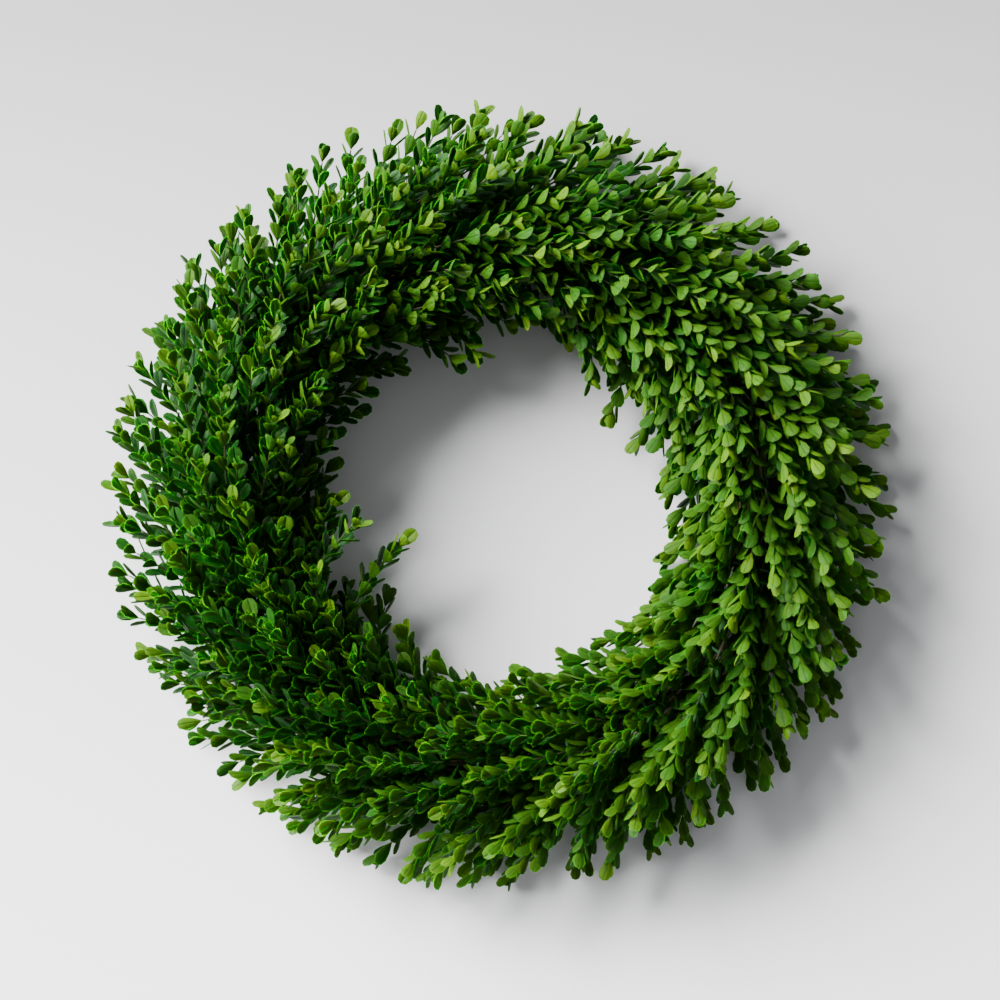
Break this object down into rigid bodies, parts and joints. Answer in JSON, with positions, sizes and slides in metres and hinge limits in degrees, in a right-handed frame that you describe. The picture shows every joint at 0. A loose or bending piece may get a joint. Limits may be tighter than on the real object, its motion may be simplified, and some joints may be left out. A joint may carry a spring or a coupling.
{
  "type": "boxwood wreath",
  "caption": "Round wreath of box sprigs that sweep clockwise, bound in bunches on a double ring of wire with clamp arches, lying on its back",
  "frame": {"origin": "middle of the wreath, on the surface that its wire frame rests on", "axes": "+Z is the way the leafy face looks, away from the wall when it hangs; +Y is the top of the wreath; the sprigs sweep clockwise seen from +Z"},
  "size_m": [0.5618, 0.5588, 0.1143],
  "materials": {
    "wire_enamel": "dark green enamelled steel wire, satin",
    "box_foliage": "fresh box leaves, dark green and waxy above and paler below, on thin woody stems"
  },
  "bodies": {
    "root": {"wire_frame": "wire_enamel", "bunch_outer_01": "box_foliage", "bunch_outer_02": "box_foliage", "bunch_outer_03": "box_foliage", "bunch_outer_04": "box_foliage", "bunch_outer_05": "box_foliage", "bunch_outer_06": "box_foliage", "bunch_outer_07": "box_foliage", "bunch_outer_08": "box_foliage", "bunch_outer_09": "box_foliage", "bunch_outer_10": "box_foliage", "bunch_outer_11": "box_foliage", "bunch_outer_12": "box_foliage", "bunch_outer_13": "box_foliage", "bunch_outer_14": "box_foliage", "bunch_outer_15": "box_foliage", "bunch_outer_16": "box_foliage", "bunch_outer_17": "box_foliage", "bunch_outer_18": "box_foliage", "bunch_face_01": "box_foliage", "bunch_face_02": "box_foliage", "bunch_face_03": "box_foliage", "bunch_face_04": "box_foliage", "bunch_face_05": "box_foliage", "bunch_face_06": "box_foliage", "bunch_face_07": "box_foliage", "bunch_face_08": "box_foliage", "bunch_face_09": "box_foliage", "bunch_face_10": "box_foliage", "bunch_face_11": "box_foliage", "bunch_face_12": "box_foliage", "bunch_face_13": "box_foliage", "bunch_face_14": "box_foliage", "bunch_face_15": "box_foliage", "bunch_face_16": "box_foliage", "bunch_face_17": "box_foliage", "bunch_face_18": "box_foliage", "bunch_inner_01": "box_foliage", "bunch_inner_02": "box_foliage", "bunch_inner_03": "box_foliage", "bunch_inner_04": "box_foliage", "bunch_inner_05": "box_foliage", "bunch_inner_06": "box_foliage", "bunch_inner_07": "box_foliage", "bunch_inner_08": "box_foliage", "bunch_inner_09": "box_foliage", "bunch_inner_10": "box_foliage", "bunch_inner_11": "box_foliage", "bunch_inner_12": "box_foliage", "bunch_inner_13": "box_foliage", "bunch_inner_14": "box_foliage", "bunch_inner_15": "box_foliage", "bunch_inner_16": "box_foliage", "bunch_inner_17": "box_foliage", "bunch_inner_18": "box_foliage"}
  },
  "joints": []
}
